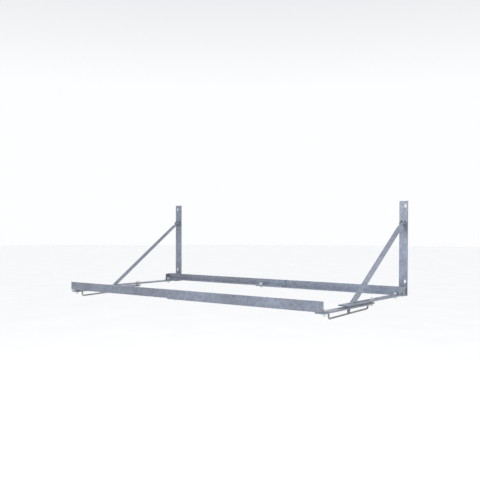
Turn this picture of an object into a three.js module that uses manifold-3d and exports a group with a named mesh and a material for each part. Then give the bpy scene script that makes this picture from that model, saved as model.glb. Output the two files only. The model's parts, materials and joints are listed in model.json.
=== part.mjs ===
// Wall-mounted folding rack for car tyres, adjustable in width and in depth.
// Millimetres, +Z up, X along the rails, the wall is the plane y = 0 and the rack stands out along -Y.
// z = 0 is the bottom of the two wall uprights, x = 0 is midway between the two brackets.

import * as THREE from 'three';
import { mergeVertices } from 'three/addons/utils/BufferGeometryUtils.js';
import Module from 'manifold-3d';

const wasm = await Module();
wasm.setup();

// Driving dimensions
const RACK_WIDTH = 1270;
const RACK_REACH = 690;
const UPRIGHT_HEIGHT = 388;
const STRAP_WIDTH = 36;
const UPRIGHT_THICKNESS = 5;
const BAR_THICKNESS = 5;
const RAIL_LEG = 38;
const REAR_RAIL_HEIGHT = 32.5;
const RAIL_THICKNESS = 3;
const GAP = 0.3;

// Bracket places. Wall holes, rail bolts and guide rods stand outside the strap's middle line
const BRACKET_X = RACK_WIDTH / 2 - STRAP_WIDTH / 2;
const HOLE_OFFSET = 7;
const PIVOT_Y = -44;
const PIVOT_Z = 12;
const BRACE_PIVOT_Y = -17;
const BRACE_PIVOT_Z = 296;
const BRACE_ANGLE = Math.atan2(2, 3);
const BRACE_WIDTH = 22;
const BRACE_THICKNESS = 4;
const TAB_Y = -477;
const TAB_SHOULDER_Z = -17.8;
const TAB_BOTTOM = -24.5;

// Arm bars: the rear bar lies over the front bar, with a spacer between them
const REAR_BAR_BOTTOM = 3.5;
const REAR_BAR_TOP = REAR_BAR_BOTTOM + BAR_THICKNESS;
const REAR_BAR_END_Y = -523;
const FRONT_BAR_TOP = -2;
const FRONT_BAR_BOTTOM = FRONT_BAR_TOP - BAR_THICKNESS;
const CLAMP_Y = -296;
const SLOT_WIDTH = 12.5;

// Rails: the right halves are outside, the left halves slide inside them
const REAR_RAIL_BACK_Y = -58;
const RAIL_BOLT_FRONT_Y = -RACK_REACH + 26;
const RAIL_BOLT_REAR_Y = REAR_RAIL_BACK_Y - 22;
const RIGHT_HALF_END_X = -60;
const LEFT_HALF_END_X = 80;
const REAR_RAIL_INSET = 3.8;
const NEST = RAIL_THICKNESS + GAP;
const FRONT_RAIL_TOP = FRONT_BAR_TOP + GAP + RAIL_LEG;
const REAR_RAIL_TOP = REAR_BAR_TOP + GAP + REAR_RAIL_HEIGHT;
const WIDTH_CLAMP_X = -40;
const WIDTH_TRAVEL = 457;

// Fasteners
const BOLT_RADIUS = 4;
const HOLE_RADIUS = 4.4;
const HEX_RADIUS = 7.5;
const HEAD_HEIGHT = 5.3;
const NUT_HEIGHT = 6.5;
const WALL_HOLE_RADIUS = 5;
const WALL_SLOT_HEIGHT = 14;

const coat = new THREE.MeshStandardMaterial({ color: 0x8f98a8, roughness: 0.45, metalness: 0.55 });
const zinc = new THREE.MeshStandardMaterial({ color: 0xb4b6b8, roughness: 0.35, metalness: 0.9 });

const rack = new THREE.Group();

// ---- Solids ----

function solidOf(geometry) {
  const bare = geometry.clone();
  bare.deleteAttribute('normal');
  bare.deleteAttribute('uv');
  const merged = mergeVertices(bare, 1e-4);
  const vertProperties = new Float32Array(merged.attributes.position.array);
  const triVerts = new Uint32Array(merged.index.array);
  return new wasm.Manifold(new wasm.Mesh({ numProp: 3, vertProperties, triVerts }));
}

function geometryOf(solid) {
  const mesh = solid.getMesh();
  const geometry = new THREE.BufferGeometry();
  geometry.setAttribute('position', new THREE.BufferAttribute(mesh.vertProperties, 3));
  geometry.setIndex(new THREE.BufferAttribute(mesh.triVerts, 1));
  geometry.computeVertexNormals();
  return geometry;
}

function joined(geometries) {
  return geometries.map(solidOf).reduce((sum, next) => sum.add(next));
}

function cut(solid, tools) {
  return tools.map(solidOf).reduce((rest, tool) => rest.subtract(tool), solid);
}

function box(low, high) {
  const size = high.map((value, i) => value - low[i]);
  const geometry = new THREE.BoxGeometry(...size);
  geometry.translate(...low.map((value, i) => value + size[i] / 2));
  return geometry;
}

// A cylinder along one axis, centred on a point
function rod(axis, radius, length, centre, sides = 24) {
  const geometry = new THREE.CylinderGeometry(radius, radius, length, sides);
  if (axis === 'x') geometry.rotateZ(-Math.PI / 2);
  if (axis === 'z') geometry.rotateX(Math.PI / 2);
  geometry.translate(...centre);
  return geometry;
}

// An outline in the Y-Z plane, given thickness along X about its middle
function sidePlate(shape, thickness, middleX) {
  const geometry = new THREE.ExtrudeGeometry(shape, {
    depth: thickness, bevelEnabled: false, curveSegments: 10,
  });
  geometry.translate(0, 0, -thickness / 2);
  const place = new THREE.Matrix4().makeBasis(
    new THREE.Vector3(0, 1, 0), new THREE.Vector3(0, 0, 1), new THREE.Vector3(1, 0, 0),
  );
  geometry.applyMatrix4(place);
  geometry.translate(middleX, 0, 0);
  return geometry;
}

// An outline in the X-Y plane, standing from one height to another
function flatPlate(shape, low, high) {
  const geometry = new THREE.ExtrudeGeometry(shape, {
    depth: high - low, bevelEnabled: false, curveSegments: 12,
  });
  geometry.translate(0, 0, low);
  return geometry;
}

// A slot with round ends, along Y or along X
function slotOutline(alongY, middle, start, end, width) {
  const r = width / 2;
  const shape = new THREE.Shape();
  if (alongY) {
    shape.absarc(middle, end - r, r, 0, Math.PI);
    shape.absarc(middle, start + r, r, Math.PI, 2 * Math.PI);
  } else {
    shape.absarc(end - r, middle, r, -Math.PI / 2, Math.PI / 2);
    shape.absarc(start + r, middle, r, Math.PI / 2, 1.5 * Math.PI);
  }
  shape.closePath();
  return shape;
}

function addPart(name, geometryOrSolid, material, x = 0) {
  const isGeometry = geometryOrSolid instanceof THREE.BufferGeometry;
  const geometry = isGeometry ? geometryOrSolid : geometryOf(geometryOrSolid);
  const mesh = new THREE.Mesh(geometry, material);
  mesh.name = name;
  mesh.position.x = x;
  rack.add(mesh);
}

// ---- Fasteners, standing along Z or lying along X ----

function bolt(axis, centre, headAt, direction, tipAt) {
  const k = axis === 'x' ? 0 : 2;
  const at = (value) => centre.map((v, i) => (i === k ? value : v));
  const headMiddle = headAt + direction * HEAD_HEIGHT / 2;
  const shankStart = headAt + direction * HEAD_HEIGHT / 2;
  const shankMiddle = (shankStart + tipAt) / 2;
  return joined([
    rod(axis, HEX_RADIUS, HEAD_HEIGHT, at(headMiddle), 6),
    rod(axis, BOLT_RADIUS, Math.abs(shankStart - tipAt), at(shankMiddle)),
  ]);
}

function nut(axis, centre) {
  return ring(axis, HEX_RADIUS, BOLT_RADIUS + GAP, NUT_HEIGHT, centre, 6);
}

function ring(axis, outer, inner, height, centre, sides = 24) {
  return cut(solidOf(rod(axis, outer, height, centre, sides)), [rod(axis, inner, height + 2, centre)]);
}

// ---- Wall bracket ----

const PLATE_THICKNESS = 3;
const EAR_HEIGHT = 38;
const EAR_RADIUS = 12;
const EAR_X = 12;
const SIDE_PLATE_X = STRAP_WIDTH / 2 - PLATE_THICKNESS / 2;
const LUG_THICKNESS = 2.5;
const LUG_X = 7.8;
const LUG_RADIUS = 8;
const PIN_RADIUS = 3;
const UPPER_HOLE_Z = UPRIGHT_HEIGHT - 20;
const LOWER_HOLE_Z = 58;

function pivotEar(x) {
  const shape = new THREE.Shape();
  const corner = 8;
  shape.moveTo(-UPRIGHT_THICKNESS + 1, 0);
  shape.lineTo(-UPRIGHT_THICKNESS + 1, EAR_HEIGHT);
  shape.absarc(PIVOT_Y - EAR_RADIUS + corner, EAR_HEIGHT - corner, corner, Math.PI / 2, Math.PI);
  shape.absarc(PIVOT_Y, PIVOT_Z, EAR_RADIUS, Math.PI, 1.5 * Math.PI);
  shape.closePath();
  return sidePlate(shape, PLATE_THICKNESS, x);
}

function braceLug(x) {
  const shape = new THREE.Shape();
  shape.moveTo(-UPRIGHT_THICKNESS + 1, BRACE_PIVOT_Z - 14);
  shape.lineTo(-UPRIGHT_THICKNESS + 1, BRACE_PIVOT_Z + 14);
  shape.absarc(BRACE_PIVOT_Y, BRACE_PIVOT_Z, LUG_RADIUS, 0.45 * Math.PI, 1.55 * Math.PI);
  shape.closePath();
  return sidePlate(shape, LUG_THICKNESS, x);
}

// A short upright slot for a wall screw
function wallHole(x, z) {
  const half = WALL_SLOT_HEIGHT / 2;
  const geometry = flatPlate(slotOutline(true, x, -half, half, 2 * WALL_HOLE_RADIUS), -20, 20);
  geometry.rotateX(Math.PI / 2);
  geometry.translate(0, 0, z);
  return geometry;
}

function upright(sign) {
  const half = STRAP_WIDTH / 2;
  const body = joined([
    box([-half, -UPRIGHT_THICKNESS, 0], [half, 0, UPRIGHT_HEIGHT]),
    pivotEar(-EAR_X),
    pivotEar(EAR_X),
    braceLug(-LUG_X),
    braceLug(LUG_X),
  ]);
  return cut(body, [
    wallHole(sign * HOLE_OFFSET, UPPER_HOLE_Z),
    wallHole(sign * HOLE_OFFSET, LOWER_HOLE_Z),
    rod('x', HOLE_RADIUS, 60, [0, PIVOT_Y, PIVOT_Z]),
    rod('x', PIN_RADIUS + GAP, 60, [0, BRACE_PIVOT_Y, BRACE_PIVOT_Z]),
  ]);
}

// Two side plates carry the rear bar on the pivot: the outer one also closes the rear rail's end
function armSidePlate(outer, x) {
  const backY = -12;
  const frontY = outer ? -82 : -72;
  const shape = new THREE.Shape();
  shape.moveTo(backY, REAR_BAR_BOTTOM);
  if (outer) {
    const top = REAR_RAIL_TOP - 2;
    const corner = 6;
    shape.absarc(backY - corner, top - corner, corner, 0, Math.PI / 2);
    shape.absarc(frontY + corner, top - corner, corner, Math.PI / 2, Math.PI);
  } else {
    shape.lineTo(backY - 8, PIVOT_Z + EAR_RADIUS);
    shape.absarc(PIVOT_Y, PIVOT_Z, EAR_RADIUS, Math.PI / 2, Math.PI);
    shape.lineTo(PIVOT_Y - EAR_RADIUS, REAR_BAR_TOP);
    shape.lineTo(frontY, REAR_BAR_TOP);
  }
  shape.lineTo(frontY, REAR_BAR_BOTTOM);
  shape.closePath();
  return sidePlate(shape, PLATE_THICKNESS, x);
}

function rearBar(sign) {
  const half = STRAP_WIDTH / 2;
  const shoulderY = PIVOT_Y - EAR_RADIUS - 2;
  const body = joined([
    box([-half, REAR_BAR_END_Y, REAR_BAR_BOTTOM], [half, shoulderY, REAR_BAR_TOP]),
    armSidePlate(true, sign * SIDE_PLATE_X),
    armSidePlate(false, -sign * SIDE_PLATE_X),
  ]);
  return cut(body, [
    rod('x', HOLE_RADIUS, 60, [0, PIVOT_Y, PIVOT_Z]),
    flatPlate(slotOutline(true, 0, TAB_Y - 18, -236, SLOT_WIDTH), 0, 15),
    rod('z', HOLE_RADIUS, 30, [0, RAIL_BOLT_REAR_Y, 3]),
  ]);
}

const TAPER_Y = -345;

function frontBar(sign) {
  const half = STRAP_WIDTH / 2;
  const outline = new THREE.Shape();
  const frontY = -RACK_REACH + RAIL_THICKNESS * 2 + GAP * 3;
  outline.moveTo(-half, frontY);
  outline.lineTo(half, frontY);
  outline.lineTo(half, TAPER_Y);
  outline.absarc(0, CLAMP_Y, EAR_RADIUS, 0, Math.PI);
  outline.lineTo(-half, TAPER_Y);
  outline.closePath();
  const body = solidOf(flatPlate(outline, FRONT_BAR_BOTTOM, FRONT_BAR_TOP));
  const rodHole = (y) => rod('z', ROD_RADIUS + GAP, 20, [sign * HOLE_OFFSET, y, -4]);
  return cut(body, [
    flatPlate(slotOutline(true, 0, -556, -350, SLOT_WIDTH), -10, 4),
    rod('z', HOLE_RADIUS, 20, [0, CLAMP_Y, -4]),
    rod('z', HOLE_RADIUS, 20, [sign * HOLE_OFFSET, RAIL_BOLT_FRONT_Y, -4]),
    rodHole(ROD_FRONT_Y),
    rodHole(ROD_REAR_Y),
  ]);
}

const ROD_RADIUS = 3.25;
const ROD_FRONT_Y = -634;
const ROD_FRONT_Z = -28.2;
const ROD_REAR_Y = -341;
const ROD_REAR_Z = -20.8;

// Round bar bent to a wide U that drops towards the front, both legs let into the front bar from below
function guideRod(sign) {
  const bend = 9;
  const x = sign * HOLE_OFFSET;
  const frontTop = new THREE.Vector3(x, ROD_FRONT_Y, FRONT_BAR_TOP);
  const frontCorner = new THREE.Vector3(x, ROD_FRONT_Y, ROD_FRONT_Z);
  const rearCorner = new THREE.Vector3(x, ROD_REAR_Y, ROD_REAR_Z);
  const rearTop = new THREE.Vector3(x, ROD_REAR_Y, FRONT_BAR_TOP);
  const step = rearCorner.clone().sub(frontCorner).setLength(bend);
  const up = new THREE.Vector3(0, 0, bend);
  const frontUp = frontCorner.clone().add(up);
  const frontIn = frontCorner.clone().add(step);
  const rearIn = rearCorner.clone().sub(step);
  const rearUp = rearCorner.clone().add(up);
  const path = new THREE.CurvePath();
  path.add(new THREE.LineCurve3(frontTop, frontUp));
  path.add(new THREE.QuadraticBezierCurve3(frontUp, frontCorner, frontIn));
  path.add(new THREE.LineCurve3(frontIn, rearIn));
  path.add(new THREE.QuadraticBezierCurve3(rearIn, rearCorner, rearUp));
  path.add(new THREE.LineCurve3(rearUp, rearTop));
  const section = new THREE.Shape();
  section.absarc(0, 0, ROD_RADIUS, 0, 2 * Math.PI);
  return new THREE.ExtrudeGeometry(section, { steps: 60, curveSegments: 5, extrudePath: path });
}

// Diagonal strap: a narrow eye at the top, a tongue through the arm at the foot, turned straight down.
// The tongue's end is a finger that passes beside the guide rod.
function brace(sign) {
  const half = BRACE_WIDTH / 2;
  const eyeRadius = 6;
  const eyeHalf = LUG_X - LUG_THICKNESS / 2 - GAP;
  const eyeEnd = 11;
  const flareEnd = 28;
  const strapEnd = (BRACE_PIVOT_Z - REAR_BAR_TOP) / Math.sin(BRACE_ANGLE) - BRACE_THICKNESS;
  const tongueHalf = SLOT_WIDTH / 2 - 0.75;
  const tongueEnd = (BRACE_PIVOT_Y - TAB_Y) / Math.cos(BRACE_ANGLE);
  const outline = new THREE.Shape();
  outline.moveTo(eyeHalf, 0);
  outline.lineTo(-eyeHalf, 0);
  outline.lineTo(-eyeHalf, -eyeEnd);
  outline.lineTo(-half, -flareEnd);
  outline.lineTo(-half, -strapEnd);
  outline.lineTo(-tongueHalf, -strapEnd);
  outline.lineTo(-tongueHalf, -tongueEnd);
  outline.lineTo(tongueHalf, -tongueEnd);
  outline.lineTo(tongueHalf, -strapEnd);
  outline.lineTo(half, -strapEnd);
  outline.lineTo(half, -flareEnd);
  outline.lineTo(eyeHalf, -eyeEnd);
  outline.closePath();
  const strap = flatPlate(outline, -BRACE_THICKNESS / 2, BRACE_THICKNESS / 2);
  const eye = rod('x', eyeRadius, 2 * eyeHalf, [0, 0, 0]);
  const sloping = geometryOf(cut(joined([strap, eye]), [rod('x', PIN_RADIUS + GAP, 40, [0, 0, 0])]));
  sloping.rotateX(BRACE_ANGLE);
  sloping.translate(0, BRACE_PIVOT_Y, BRACE_PIVOT_Z);

  const tongueEndZ = BRACE_PIVOT_Z - tongueEnd * Math.sin(BRACE_ANGLE);
  const tabFront = TAB_Y - BRACE_THICKNESS / 2;
  const tabBack = TAB_Y + BRACE_THICKNESS / 2;
  const tab = box([-tongueHalf, tabFront, TAB_SHOULDER_Z], [tongueHalf, tabBack, tongueEndZ + 1]);
  const besideRod = HOLE_OFFSET - ROD_RADIUS - GAP;
  const finger = [-sign * tongueHalf, sign * besideRod].sort((a, b) => a - b);
  const fingerBox = box([finger[0], tabFront, TAB_BOTTOM], [finger[1], tabBack, TAB_SHOULDER_Z + 1]);
  return joined([sloping, tab, fingerBox]);
}

function addBracket(side, sign) {
  const x = sign * BRACKET_X;
  const bushLength = 2 * EAR_X - PLATE_THICKNESS - 2 * GAP;
  const pivot = [0, PIVOT_Y, PIVOT_Z];

  addPart(`upright_${side}`, upright(sign), coat, x);
  addPin(`arm_pivot_pin_${side}`, sign, pivot, STRAP_WIDTH / 2 + GAP, BOLT_RADIUS, 8, x);
  addPart(`arm_pivot_bush_${side}`, ring('x', 6.7, BOLT_RADIUS + GAP, bushLength, pivot), zinc, x);
  addPart(`rear_bar_${side}`, rearBar(sign), coat, x);
  addPart(`front_bar_${side}`, frontBar(sign), coat, x);
  addPart(`guide_rod_${side}`, guideRod(sign), zinc, x);
  addPart(`brace_${side}`, brace(sign), coat, x);
  const lugOut = LUG_X + LUG_THICKNESS / 2 + GAP;
  addPin(`brace_pin_${side}`, sign, [0, BRACE_PIVOT_Y, BRACE_PIVOT_Z], lugOut, PIN_RADIUS, 4.8, x);
  addArmFasteners(side, x);
  addRailFasteners(side, sign, x);
}

// A headed pin through a hinge, its head outside and a collar pressed on its tail inside
function addPin(name, sign, centre, halfWidth, radius, headRadius, x) {
  const headHeight = 2.4;
  const tail = halfWidth + headHeight + 1.2;
  const at = (value) => [sign * value, centre[1], centre[2]];
  const head = rod('x', headRadius, headHeight, at(halfWidth + headHeight / 2));
  const shank = rod('x', radius, halfWidth + tail + 1, at((halfWidth + 1 - tail) / 2));
  const collar = ring('x', headRadius, radius + GAP, headHeight, at(-halfWidth - headHeight / 2));
  addPart(name, joined([head, shank]), coat, x);
  addPart(name.replace('_pin_', '_collar_'), collar, coat, x);
}

// The clamp bolt joins the two bars of an arm through the rear bar's slot
function addArmFasteners(side, x) {
  const washerHeight = 2;
  const washerRadius = 11;
  const boltHole = BOLT_RADIUS + GAP;
  const washerZ = REAR_BAR_TOP + GAP + washerHeight / 2;
  const head = REAR_BAR_TOP + washerHeight + 2 * GAP;
  const under = FRONT_BAR_BOTTOM - GAP;
  const spacerHeight = REAR_BAR_BOTTOM - FRONT_BAR_TOP - 2 * GAP;
  const spacerZ = (REAR_BAR_BOTTOM + FRONT_BAR_TOP) / 2;
  const at = (z) => [0, CLAMP_Y, z];
  addPart(`depth_bolt_${side}`, bolt('z', at(0), head, 1, under - NUT_HEIGHT - 3), zinc, x);
  addPart(`depth_washer_${side}`, ring('z', washerRadius, boltHole, washerHeight, at(washerZ)), zinc, x);
  addPart(`depth_spacer_${side}`, ring('z', washerRadius, boltHole, spacerHeight, at(spacerZ)), zinc, x);
  addPart(`depth_nut_${side}`, nut('z', at(under - NUT_HEIGHT / 2)), zinc, x);
}

// ---- Rails ----

// Floor of the rail's flat leg: the left half lies one thickness higher, inside the right half
const frontRailFloor = (side) => FRONT_BAR_TOP + GAP + (side === 'left' ? NEST : 0);
const rearRailFloor = (side) => REAR_BAR_TOP + GAP + (side === 'left' ? NEST : 0);

function addRailFasteners(side, sign, x) {
  const places = [
    ['front', sign * HOLE_OFFSET, RAIL_BOLT_FRONT_Y, frontRailFloor(side), FRONT_BAR_TOP],
    ['rear', 0, RAIL_BOLT_REAR_Y, rearRailFloor(side), REAR_BAR_TOP],
  ];
  for (const [end, boltX, y, floor, barTop] of places) {
    const head = floor + RAIL_THICKNESS + GAP;
    const under = barTop - BAR_THICKNESS - GAP;
    addPart(`${end}_rail_bolt_${side}`, bolt('z', [boltX, y, 0], head, 1, under - NUT_HEIGHT - 3), zinc, x);
    addPart(`${end}_rail_nut_${side}`, nut('z', [boltX, y, under - NUT_HEIGHT / 2]), zinc, x);
    if (side === 'left') {
      const height = floor - barTop - 2 * GAP;
      const centre = [boltX, y, barTop + GAP + height / 2];
      addPart(`${end}_rail_spacer_${side}`, ring('z', 9, BOLT_RADIUS + GAP, height, centre), zinc, x);
    }
  }
}

// An angle: `back` is the outer face of the standing leg, `toward` is the way the flat leg points
function railHalf(startX, endX, back, toward, inset, floor, top) {
  const near = back + toward * inset;
  const far = back + toward * RAIL_LEG;
  const inner = near + toward * RAIL_THICKNESS;
  return joined([
    box([startX, Math.min(near, inner), floor], [endX, Math.max(near, inner), top]),
    box([startX, Math.min(near, far), floor], [endX, Math.max(near, far), floor + RAIL_THICKNESS]),
  ]);
}

function addRailPair(end, back, toward, floorOf, top, boltY, boltX, halfWidth) {
  const hole = (x) => rod('z', HOLE_RADIUS, 60, [x, boltY, 0]);
  const slotStart = WIDTH_CLAMP_X - WIDTH_TRAVEL - SLOT_WIDTH / 2;
  const slotEnd = WIDTH_CLAMP_X + SLOT_WIDTH / 2;
  const slot = flatPlate(slotOutline(false, boltY, slotStart, slotEnd, SLOT_WIDTH), -30, 30);
  const halves = {
    right: railHalf(RIGHT_HALF_END_X, halfWidth, back, toward, 0, floorOf('right'), top),
    left: railHalf(-halfWidth, LEFT_HALF_END_X, back, toward, NEST, floorOf('left'), top),
  };
  addPart(`${end}_rail_right`, cut(halves.right, [hole(boltX), hole(WIDTH_CLAMP_X)]), coat);
  addPart(`${end}_rail_left`, cut(halves.left, [hole(-boltX), slot]), coat);

  const under = floorOf('right') - GAP;
  const over = floorOf('left') + RAIL_THICKNESS + GAP;
  const at = (z) => [0, boltY, z];
  const head = bolt('z', at(0), under, -1, over + NUT_HEIGHT + 4);
  addPart(`${end}_width_bolt`, head, zinc, WIDTH_CLAMP_X);
  addPart(`${end}_width_washer`, ring('z', 11, BOLT_RADIUS + GAP, 2, at(over + 1)), zinc, WIDTH_CLAMP_X);
  addPart(`${end}_width_nut`, nut('z', at(over + 2 + GAP + NUT_HEIGHT / 2)), zinc, WIDTH_CLAMP_X);
}

addBracket('right', 1);
addBracket('left', -1);
addRailPair(
  'front', -RACK_REACH, 1, frontRailFloor, FRONT_RAIL_TOP, RAIL_BOLT_FRONT_Y,
  BRACKET_X + HOLE_OFFSET, RACK_WIDTH / 2,
);
addRailPair(
  'rear', REAR_RAIL_BACK_Y, -1, rearRailFloor, REAR_RAIL_TOP, RAIL_BOLT_REAR_Y,
  BRACKET_X, RACK_WIDTH / 2 - REAR_RAIL_INSET,
);

export default rack;
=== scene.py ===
# Looks of the folding tyre rack: pressed steel with rounded edges, threaded fasteners, welds,
# a silver-grey mottled coat and zinc plate, on a pale floor in soft studio light.
# Metres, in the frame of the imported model: +X along the rails, +Y into the wall, +Z up.

import json
import math

import bmesh
import bpy
from mathutils import Matrix, Vector


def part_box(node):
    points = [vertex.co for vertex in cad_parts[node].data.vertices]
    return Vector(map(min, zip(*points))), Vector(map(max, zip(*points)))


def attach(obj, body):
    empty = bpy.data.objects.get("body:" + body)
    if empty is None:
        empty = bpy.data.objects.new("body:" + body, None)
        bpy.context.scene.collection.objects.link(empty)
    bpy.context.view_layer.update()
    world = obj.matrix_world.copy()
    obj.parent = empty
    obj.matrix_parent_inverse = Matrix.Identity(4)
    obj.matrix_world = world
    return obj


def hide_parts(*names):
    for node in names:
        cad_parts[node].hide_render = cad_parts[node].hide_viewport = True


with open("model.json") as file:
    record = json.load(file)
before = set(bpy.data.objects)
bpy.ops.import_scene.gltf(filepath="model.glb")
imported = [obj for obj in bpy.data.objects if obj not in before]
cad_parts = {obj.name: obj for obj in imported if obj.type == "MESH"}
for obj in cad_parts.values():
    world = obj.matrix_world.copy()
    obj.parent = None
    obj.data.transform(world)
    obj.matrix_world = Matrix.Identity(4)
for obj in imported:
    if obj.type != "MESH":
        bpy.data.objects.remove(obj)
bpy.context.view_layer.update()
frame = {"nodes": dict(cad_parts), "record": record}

MM = 0.001
NODES = frame["nodes"]
RECORD = frame["record"]
BODY_OF = {node: body for body, nodes in RECORD["behaviour"]["bodies"].items() for node in nodes}
SLOT_OF = {part["node"]: part["material_slot"] for part in RECORD["subparts"]}
SIDES = (("right", 1), ("left", -1))
SCENE = bpy.context.scene


# ---- Camera ----

def add_camera():
    """The view of the reference: from the right, just above the rails, a slightly long lens."""
    yaw, pitch, roll = math.radians(36.78), math.radians(1.15), math.radians(0.145)
    camera = bpy.data.objects.new("camera", bpy.data.cameras.new("camera"))
    SCENE.collection.objects.link(camera)
    turn = (
        Matrix.Rotation(yaw, 4, "Z")
        @ Matrix.Rotation(math.pi / 2 - pitch, 4, "X")
        @ Matrix.Rotation(roll, 4, "Z")
    )
    camera.matrix_world = Matrix.Translation((1.747, -2.6338, 0.2821)) @ turn
    camera.data.sensor_width = 36
    camera.data.lens = 50.95
    SCENE.camera = camera


# ---- Materials ----

def new_node(tree, kind, inputs=(), **settings):
    node = tree.nodes.new(kind)
    for key, value in settings.items():
        setattr(node, key, value)
    for key, value in dict(inputs).items():
        if isinstance(value, bpy.types.NodeSocket):
            tree.links.new(value, node.inputs[key])
        else:
            node.inputs[key].default_value = value
    return node


def new_material(name):
    material = bpy.data.materials.new(name)
    material.use_nodes = True
    tree = material.node_tree
    place = new_node(tree, "ShaderNodeTexCoord").outputs["Object"]
    return material, tree, tree.nodes["Principled BSDF"], place


def noise(tree, place, size, detail=2.0):
    """Noise with features of about this size in metres."""
    inputs = {"Vector": place, "Scale": 1 / size, "Detail": detail}
    return new_node(tree, "ShaderNodeTexNoise", inputs).outputs["Fac"]


def ramp(tree, factor, stops):
    node = new_node(tree, "ShaderNodeValToRGB", {"Fac": factor})
    elements = node.color_ramp.elements
    while len(elements) < len(stops):
        elements.new(0.5)
    for element, (position, colour) in zip(elements, stops):
        element.position = position
        element.color = (*colour, 1)
    return node.outputs["Color"]


def mapped(tree, value, source, target):
    inputs = {
        "Value": value, "From Min": source[0], "From Max": source[1],
        "To Min": target[0], "To Max": target[1],
    }
    return new_node(tree, "ShaderNodeMapRange", inputs).outputs["Result"]


def mixed(tree, blend, factor, a, b):
    node = new_node(tree, "ShaderNodeMix", data_type="RGBA", blend_type=blend)
    sockets = {"Factor": node.inputs[0], "A": node.inputs[6], "B": node.inputs[7]}
    for key, value in (("Factor", factor), ("A", a), ("B", b)):
        if isinstance(value, bpy.types.NodeSocket):
            tree.links.new(value, sockets[key])
        else:
            sockets[key].default_value = value
    return node.outputs[2]


def grey(level):
    return (level, level, level)


def shaded(tree, colour, pattern, low, high):
    """The colour made darker or lighter by a pattern, between two (position, grey) stops."""
    tone = ramp(tree, pattern, [(place, grey(level)) for place, level in (low, high)])
    return mixed(tree, "MULTIPLY", 1.0, colour, tone)


def bump(tree, height, depth, strength, under=None):
    inputs = {"Height": height, "Distance": depth, "Strength": strength}
    if under is not None:
        inputs["Normal"] = under
    return new_node(tree, "ShaderNodeBump", inputs).outputs["Normal"]


def hammertone_coat():
    """Silver-grey mottled coat, taken as hammertone: shallow dimples, fine flake, and edges painted
    lighter, partly worn coat and partly a painted highlight.
    """
    material, tree, shader, place = new_material("hammertone_coat")
    swirl = new_node(tree, "ShaderNodeTexNoise", {"Vector": place, "Scale": 210.0, "Detail": 1.0})
    shift = new_node(tree, "ShaderNodeVectorMath", operation="SCALE")
    tree.links.new(swirl.outputs["Color"], shift.inputs[0])
    shift.inputs["Scale"].default_value = 2.2 * MM
    warped = new_node(tree, "ShaderNodeVectorMath", operation="ADD")
    tree.links.new(place, warped.inputs[0])
    tree.links.new(shift.outputs[0], warped.inputs[1])
    cells = new_node(
        tree, "ShaderNodeTexVoronoi",
        {"Vector": warped.outputs[0], "Scale": 300.0, "Smoothness": 0.7}, feature="SMOOTH_F1",
    ).outputs["Distance"]
    flake = noise(tree, place, 0.55 * MM, 1.0)
    cloud = noise(tree, place, 70 * MM, 3.0)
    mottle = noise(tree, place, 11 * MM, 2.0)
    drift = noise(tree, place, 330 * MM, 1.0)

    body = ramp(tree, drift, [(0.36, (0.166, 0.184, 0.226)), (0.64, (0.200, 0.227, 0.288))])
    clouded = shaded(tree, body, cloud, (0.3, 0.9), (0.7, 1.08))
    mottled = shaded(tree, clouded, mottle, (0.3, 0.83), (0.7, 1.17))
    dimpled = shaded(tree, mottled, cells, (0.1, 1.09), (0.75, 0.86))
    flaked = shaded(tree, dimpled, flake, (0.34, 0.88), (0.66, 1.13))
    # Edges painted lighter: partly the coat worn thin, partly a painted highlight.
    edge = new_node(tree, "ShaderNodeAttribute", attribute_name="edge").outputs["Fac"]
    edge_wear_and_highlight = mapped(tree, edge, (0.0, 1.0), (0.0, 0.7))
    worn_and_highlit = mixed(tree, "MIX", edge_wear_and_highlight, flaked, (0.40, 0.43, 0.48, 1))
    tree.links.new(worn_and_highlit, shader.inputs["Base Color"])
    tree.links.new(mapped(tree, cells, (0.0, 0.8), (0.33, 0.47)), shader.inputs["Roughness"])
    shader.inputs["Metallic"].default_value = 0.5
    shader.inputs["Coat Weight"].default_value = 0.3
    shader.inputs["Coat Roughness"].default_value = 0.22
    relief = bump(tree, cells, 0.35 * MM, 0.55)
    tree.links.new(bump(tree, flake, 0.05 * MM, 0.5, relief), shader.inputs["Normal"])
    return material


def zinc_plate():
    """Bright zinc plate with a faint blue and straw passivation and fine tool marks."""
    material, tree, shader, place = new_material("zinc_plate")
    cloud = noise(tree, place, 9 * MM, 3.0)
    speck = noise(tree, place, 0.4 * MM, 2.0)
    tint = ramp(
        tree, cloud,
        [(0.3, (0.60, 0.63, 0.68)), (0.52, (0.70, 0.71, 0.71)), (0.72, (0.72, 0.70, 0.63))],
    )
    toned = shaded(tree, tint, speck, (0.3, 0.86), (0.7, 1.08))
    tree.links.new(toned, shader.inputs["Base Color"])
    tree.links.new(mapped(tree, speck, (0.3, 0.7), (0.24, 0.42)), shader.inputs["Roughness"])
    shader.inputs["Metallic"].default_value = 0.95
    tree.links.new(bump(tree, speck, 0.03 * MM, 0.5), shader.inputs["Normal"])
    return material


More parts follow.
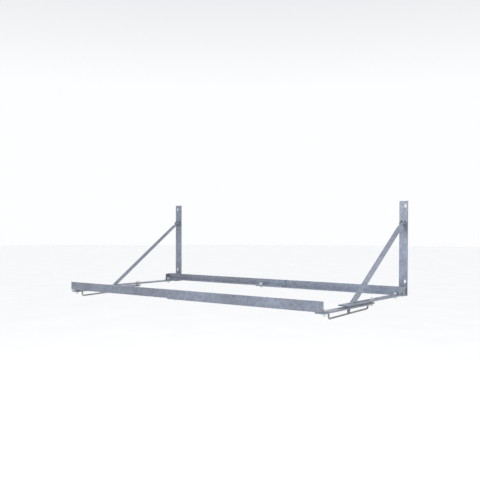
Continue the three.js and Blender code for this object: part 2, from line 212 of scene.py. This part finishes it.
def drawn_rod():
    """Zinc-plated drawn bar: fine marks along its length, a little duller than the fasteners."""
    material, tree, shader, place = new_material("drawn_zinc_rod")
    stretched = new_node(tree, "ShaderNodeMapping", {"Vector": place, "Scale": (1.0, 0.06, 0.25)})
    marks = noise(tree, stretched.outputs["Vector"], 0.5 * MM, 2.0)
    cloud = noise(tree, place, 25 * MM, 2.0)
    tint = ramp(tree, cloud, [(0.3, (0.24, 0.24, 0.245)), (0.7, (0.32, 0.32, 0.325))])
    toned = shaded(tree, tint, marks, (0.3, 0.84), (0.7, 1.1))
    tree.links.new(toned, shader.inputs["Base Color"])
    tree.links.new(mapped(tree, marks, (0.3, 0.7), (0.3, 0.45)), shader.inputs["Roughness"])
    shader.inputs["Metallic"].default_value = 0.85
    tree.links.new(bump(tree, marks, 0.03 * MM, 0.4), shader.inputs["Normal"])
    return material


COAT = hammertone_coat()
ZINC = zinc_plate()
ROD = drawn_rod()


# ---- Pieces ----

def add_piece(name, bm, material, node, replaces=True, smooth_angle=35):
    """Makes a closed mesh a piece on a CAD node's body, in that node's place or beside it."""
    bmesh.ops.recalc_face_normals(bm, faces=bm.faces)
    mesh = bpy.data.meshes.new(name)
    bm.to_mesh(mesh)
    bm.free()
    mesh.materials.append(material)
    mesh.polygons.foreach_set("use_smooth", [True] * len(mesh.polygons))
    mesh.set_sharp_from_angle(angle=math.radians(smooth_angle))
    piece = bpy.data.objects.new(name, mesh)
    SCENE.collection.objects.link(piece)
    normals = piece.modifiers.new("flat faces keep their shading", "WEIGHTED_NORMAL")
    normals.keep_sharp = True
    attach(piece, BODY_OF[node])
    if replaces:
        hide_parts(node)
    return piece


def steel_of(node):
    """A copy of a CAD node's mesh with its flat faces whole again."""
    bm = bmesh.new()
    bm.from_mesh(NODES[node].data)
    bmesh.ops.remove_doubles(bm, verts=bm.verts, dist=0.001 * MM)
    bmesh.ops.dissolve_limit(bm, angle_limit=math.radians(1), verts=bm.verts, edges=bm.edges)
    bm.faces.layers.float.new("edge")
    return bm


def bevel(bm, edges, width, segments):
    return bmesh.ops.bevel(
        bm, geom=edges, offset=width, offset_type="OFFSET", segments=segments, profile=0.5,
        affect="EDGES", clamp_overlap=True,
    )["faces"]


def round_edges(bm, width, segments=2):
    """Rounds the sharp edges, and marks them for the coat, which is painted lighter there: partly worn
    thin, partly a painted highlight.
    """
    sharp = math.radians(30)
    edges = [e for e in bm.edges if len(e.link_faces) == 2 and e.calc_face_angle() > sharp]
    mark = bm.faces.layers.float["edge"]
    for face in bevel(bm, edges, width, segments):
        face[mark] = 1


def add_rounded(node, width, segments=2):
    bm = steel_of(node)
    round_edges(bm, width, segments)
    add_piece(f"{node}_rounded", bm, ZINC if SLOT_OF[node] == "zinc_plate" else COAT, node)


# ---- Rails: angle bent from sheet, with a round bend outside and a fillet inside ----

def add_rail(node, back_is_low):
    sheet = 3 * MM
    low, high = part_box(node)
    back = low[1] if back_is_low else high[1]
    toward = 1 if back_is_low else -1
    bm = steel_of(node)

    def along_x(y, z):
        near = 0.05 * MM
        return [
            e for e in bm.edges
            if all(abs(v.co.y - y) < near and abs(v.co.z - z) < near for v in e.verts)
        ]

    bevel(bm, along_x(back, low[2]), 4.2 * MM, 5)
    bevel(bm, along_x(back + toward * sheet, low[2] + sheet), 1.4 * MM, 3)
    round_edges(bm, 0.45 * MM)
    add_piece(f"{node}_bent_angle", bm, COAT, node)


# ---- Fasteners ----

AROUND = 48
HEX_FLAT = 6.5 * MM
BOLT_RADIUS = 4 * MM
HEAD_HEIGHT = 5.3 * MM
ROD_RADIUS = 3.25 * MM
ROD_DROP = 7.4 * MM
FLOOR_HEIGHT = -0.9


def ring_of(bm, radius, height):
    """A ring of vertices. The radius and the height are numbers, or functions of the angle."""
    ring = []
    for i in range(AROUND):
        angle = 2 * math.pi * i / AROUND
        r = radius(angle) if callable(radius) else radius
        z = height(angle) if callable(height) else height
        ring.append(bm.verts.new((r * math.cos(angle), r * math.sin(angle), z)))
    return ring


def skin(bm, rings, closed=False):
    pairs = list(zip(rings, rings[1:]))
    if closed:
        pairs.append((rings[-1], rings[0]))
    for a, b in pairs:
        for i in range(len(a)):
            j = (i + 1) % len(a)
            bm.faces.new((a[i], a[j], b[j], b[i]))


def hex_radius(angle):
    sixth = math.pi / 3
    return HEX_FLAT / math.cos((angle % sixth) - sixth / 2)


def chamfered(end, direction, crown):
    """The height at which the hexagon's side meets the cone that chamfers its end."""
    steep = math.tan(math.radians(30))
    return lambda angle: end - direction * (hex_radius(angle) - crown) * steep


def thread_rings(bm, start, end):
    """Rings of a threaded rod from start to end along Z, its tip chamfered."""
    pitch, depth, steps = 1.25 * MM, 0.62 * MM, 6
    count = max(2, round(abs(end - start) / pitch * steps))
    rings = []
    for k in range(count + 1):
        z = start + (end - start) * k / count
        fade = min(1, k / steps, (count - k) / steps + 0.35)

        def radius(angle, z=z, fade=fade):
            phase = (z / pitch - angle / (2 * math.pi)) % 1
            valley = 1 - abs(2 * phase - 1)
            return BOLT_RADIUS - depth * valley * fade

        rings.append(ring_of(bm, radius, z))
    tip_z = end + math.copysign(0.5 * MM, end - start)
    rings.append(ring_of(bm, BOLT_RADIUS - 0.9 * MM, tip_z))
    return rings


def add_bolt(node):
    """A hexagon bolt in the place of a CAD bolt: chamfered head with a washer face, threaded shank."""
    low, high = (Vector(corner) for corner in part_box(node))
    head_up = "width_bolt" not in node
    length = high.z - low.z
    crown = HEX_FLAT * 0.96
    bm = bmesh.new()
    thread_start = HEAD_HEIGHT + 5 * MM
    rings = [
        ring_of(bm, crown * 0.86, 0.25 * MM),
        ring_of(bm, crown * 0.9, 0),
        ring_of(bm, crown, 0),
        ring_of(bm, hex_radius, chamfered(0, -1, crown)),
        ring_of(bm, hex_radius, HEAD_HEIGHT - 0.4 * MM),
        ring_of(bm, crown, HEAD_HEIGHT - 0.4 * MM),
        ring_of(bm, crown, HEAD_HEIGHT),
        ring_of(bm, BOLT_RADIUS, HEAD_HEIGHT),
    ]
    rings += thread_rings(bm, thread_start, length - 0.5 * MM)
    skin(bm, rings)
    bm.faces.new(rings[0])
    bm.faces.new(rings[-1])
    middle = (low + high) / 2
    if head_up:
        place = Matrix.Translation((middle.x, middle.y, high.z)) @ Matrix.Rotation(math.pi, 4, "X")
    else:
        place = Matrix.Translation((middle.x, middle.y, low.z))
    bm.transform(place)
    add_piece(f"{node}_threaded", bm, ZINC, node)


def add_nut(node):
    """A hexagon nut in the place of a CAD nut, chamfered on both sides."""
    low, high = (Vector(corner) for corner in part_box(node))
    height = high.z - low.z
    crown = HEX_FLAT * 0.97
    bore = BOLT_RADIUS + 0.15 * MM
    bm = bmesh.new()
    rings = [
        ring_of(bm, bore, 0.5 * MM),
        ring_of(bm, bore + 0.5 * MM, 0),
        ring_of(bm, crown, 0),
        ring_of(bm, hex_radius, chamfered(0, -1, crown)),
        ring_of(bm, hex_radius, chamfered(height, 1, crown)),
        ring_of(bm, crown, height),
        ring_of(bm, bore + 0.5 * MM, height),
        ring_of(bm, bore, height - 0.5 * MM),
    ]
    skin(bm, rings, closed=True)
    middle = (low + high) / 2
    bm.transform(Matrix.Translation((middle.x, middle.y, low.z)))
    add_piece(f"{node}_chamfered", bm, ZINC, node)


# ---- Guide rods ----

def bent_path(corners, bend, steps=8):
    """Points along straight runs joined by round bends."""
    points = [corners[0]]
    for before, corner, after in zip(corners, corners[1:], corners[2:]):
        start = corner + (before - corner).normalized() * bend
        end = corner + (after - corner).normalized() * bend
        for k in range(steps + 1):
            t = k / steps
            points.append((1 - t) ** 2 * start + 2 * t * (1 - t) * corner + t ** 2 * end)
    points.append(corners[-1])
    return points


def add_tube(name, points, radius_at, material, node, replaces, sides=20):
    """A round bar along points in one upright plane, square to X."""
    bm = bmesh.new()
    rings = []
    across = Vector((1, 0, 0))
    for k, point in enumerate(points):
        ahead = points[min(k + 1, len(points) - 1)] - points[max(k - 1, 0)]
        out = ahead.normalized().cross(across)
        ring = []
        for i in range(sides):
            angle = 2 * math.pi * i / sides
            reach = math.cos(angle) * across + math.sin(angle) * out
            ring.append(bm.verts.new(point + radius_at(k) * reach))
        rings.append(ring)
    skin(bm, rings)
    bm.faces.new(rings[0])
    bm.faces.new(rings[-1])
    return add_piece(name, bm, material, node, replaces)


def add_guide_rod(side):
    node = f"guide_rod_{side}"
    low, high = (Vector(corner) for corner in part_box(node))
    bar_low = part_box(f"front_bar_{side}")[0][2]
    radius = ROD_RADIUS
    x = (low.x + high.x) / 2
    front, rear = low.y + radius, high.y - radius
    bottom = low.z + radius
    corners = [
        Vector((x, front, high.z)), Vector((x, front, bottom)),
        Vector((x, rear, bottom + ROD_DROP)), Vector((x, rear, high.z)),
    ]
    points = bent_path(corners, 10 * MM)
    add_tube(f"{node}_bent", points, lambda k: radius, ROD, node, True)
    for end, y in (("front", front), ("rear", rear)):
        add_ring_weld(f"{node}_{end}_weld", (x, y, bar_low), radius, f"front_bar_{side}")


# ---- Welds, painted over ----

def ripple(k, step):
    return 0.84 + 0.16 * abs(math.sin(math.pi * k / step))


def add_ring_weld(name, centre, radius, node):
    """A rippled bead round a bar where it meets the underside of a plate."""
    turns, sides, bead = 48, 10, 1.5 * MM
    bm = bmesh.new()
    rings = []
    for k in range(turns):
        angle = 2 * math.pi * k / turns
        out = Vector((math.cos(angle), math.sin(angle), 0))
        thick = bead * ripple(k, 4)
        ring = []
        for i in range(sides):
            around = 2 * math.pi * i / sides
            reach = radius + 0.3 * bead + thick * math.cos(around)
            rise = Vector((0, 0, thick * math.sin(around)))
            ring.append(bm.verts.new(Vector(centre) + out * reach + rise))
        rings.append(ring)
    skin(bm, rings, closed=True)
    add_piece(name, bm, COAT, node, replaces=False, smooth_angle=60)


def add_corner_weld(name, x, y, bottom, top, node):
    """A rippled upright bead in the corner between a plate and the upright."""
    bead, step = 1.25 * MM, 1.5 * MM
    count = round((top - bottom) / (step / 4))
    points = [Vector((x, y, bottom + (top - bottom) * k / count)) for k in range(count + 1)]

    def thickness(k):
        end = min(k, count - k) / 4
        return bead * ripple(k, 4) * min(1, 0.45 + 0.55 * end)

    add_tube(name, points, thickness, COAT, node, False, sides=10)


def add_bracket_welds(side, sign):
    node = f"upright_{side}"
    low, high = (Vector(corner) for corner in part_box(node))
    middle = (low.x + high.x) / 2
    face = -5 * MM
    pin = (Vector(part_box(f"brace_pin_{side}")[0]) + Vector(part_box(f"brace_pin_{side}")[1])) / 2
    places = [("ear", 13.5 * MM, low.z + 3 * MM, low.z + 35 * MM)]
    places.append(("lug", 9.05 * MM, pin.z - 12 * MM, pin.z + 12 * MM))
    for kind, reach, bottom, top in places:
        for end, way in (("outer", sign), ("inner", -sign)):
            x = middle + way * (reach + 0.3 * MM)
            add_corner_weld(f"{kind}_weld_{end}_{side}", x, face, bottom, top, node)


# ---- Build ----

add_camera()

for side, sign in SIDES:
    for plate in ("upright", "rear_bar", "front_bar", "brace"):
        add_rounded(f"{plate}_{side}", 0.5 * MM)
    for turned in ("arm_pivot_pin", "arm_pivot_collar", "brace_pin", "brace_collar"):
        add_rounded(f"{turned}_{side}", 0.6 * MM, segments=3)
    for ring in ("arm_pivot_bush", "depth_washer", "depth_spacer"):
        add_rounded(f"{ring}_{side}", 0.25 * MM)
    for place in ("depth", "front_rail", "rear_rail"):
        add_bolt(f"{place}_bolt_{side}")
        add_nut(f"{place}_nut_{side}")
    add_rail(f"front_rail_{side}", True)
    add_rail(f"rear_rail_{side}", False)
    add_guide_rod(side)
    add_bracket_welds(side, sign)

for end in ("front", "rear"):
    add_rounded(f"{end}_rail_spacer_left", 0.25 * MM)
    add_rounded(f"{end}_width_washer", 0.25 * MM)
    add_bolt(f"{end}_width_bolt")
    add_nut(f"{end}_width_nut")


# ---- Floor and light ----

def add_floor():
    material, tree, shader, place = new_material("pale_floor")
    tone = ramp(tree, noise(tree, place, 0.6, 2.0), [(0.3, grey(0.77)), (0.7, grey(0.79))])
    tree.links.new(tone, shader.inputs["Base Color"])
    shader.inputs["Roughness"].default_value = 0.9
    shader.inputs["Specular IOR Level"].default_value = 0.1
    bpy.ops.mesh.primitive_circle_add(
        vertices=96, radius=40, fill_type="NGON", location=(0, 0, FLOOR_HEIGHT),
    )
    floor = bpy.context.object
    floor.name = "floor"
    floor.data.materials.append(material)


def add_softbox(name, place, target, size, power, colour):
    lamp = bpy.data.lights.new(name, "AREA")
    lamp.shape = "RECTANGLE"
    lamp.size, lamp.size_y = size
    lamp.energy = power
    lamp.color = colour
    softbox = bpy.data.objects.new(name, lamp)
    SCENE.collection.objects.link(softbox)
    softbox.location = place
    softbox.visible_camera = False
    softbox.rotation_euler = (Vector(target) - Vector(place)).to_track_quat("-Z", "Y").to_euler()


def add_sun():
    """One broad light over the whole floor, from the right and the front, that keeps it pale."""
    lamp = bpy.data.lights.new("sun", "SUN")
    lamp.energy = 2.1
    lamp.angle = math.radians(25)
    lamp.color = (1.0, 0.985, 0.95)
    sun = bpy.data.objects.new("sun", lamp)
    SCENE.collection.objects.link(sun)
    sun.rotation_euler = Vector((-0.25, 0.32, -1.0)).to_track_quat("-Z", "Y").to_euler()


def add_world():
    """Pale at the horizon and below, dimmer overhead, so that the steel has a gradient to show."""
    world = bpy.data.worlds.new("studio")
    world.use_nodes = True
    SCENE.world = world
    tree = world.node_tree
    place = new_node(tree, "ShaderNodeTexCoord").outputs["Generated"]
    height = new_node(tree, "ShaderNodeSeparateXYZ", {"Vector": place}).outputs["Z"]
    tone = ramp(tree, height, [(0.2, (0.985, 0.99, 1.0)), (0.6, (0.50, 0.52, 0.57))])
    tree.links.new(tone, tree.nodes["Background"].inputs["Color"])


add_floor()
add_world()
add_softbox("key", (2.6, -3.2, 2.6), (0.2, -0.3, 0.1), (1.8, 1.8), 80, (1.0, 0.985, 0.97))
add_softbox("fill", (-3.0, -2.6, 1.4), (0.0, -0.3, 0.1), (2.0, 1.6), 5, (0.92, 0.95, 1.0))
add_softbox("front", (-0.9, -4.2, 0.9), (0.4, -0.7, 0.0), (1.2, 1.2), 30, (0.95, 0.97, 1.0))
add_softbox("top", (0.0, 0.4, 3.0), (0.0, -0.3, 0.0), (3.0, 1.4), 12, (1.0, 1.0, 1.0))
add_sun()
SCENE.view_settings.view_transform = "Standard"
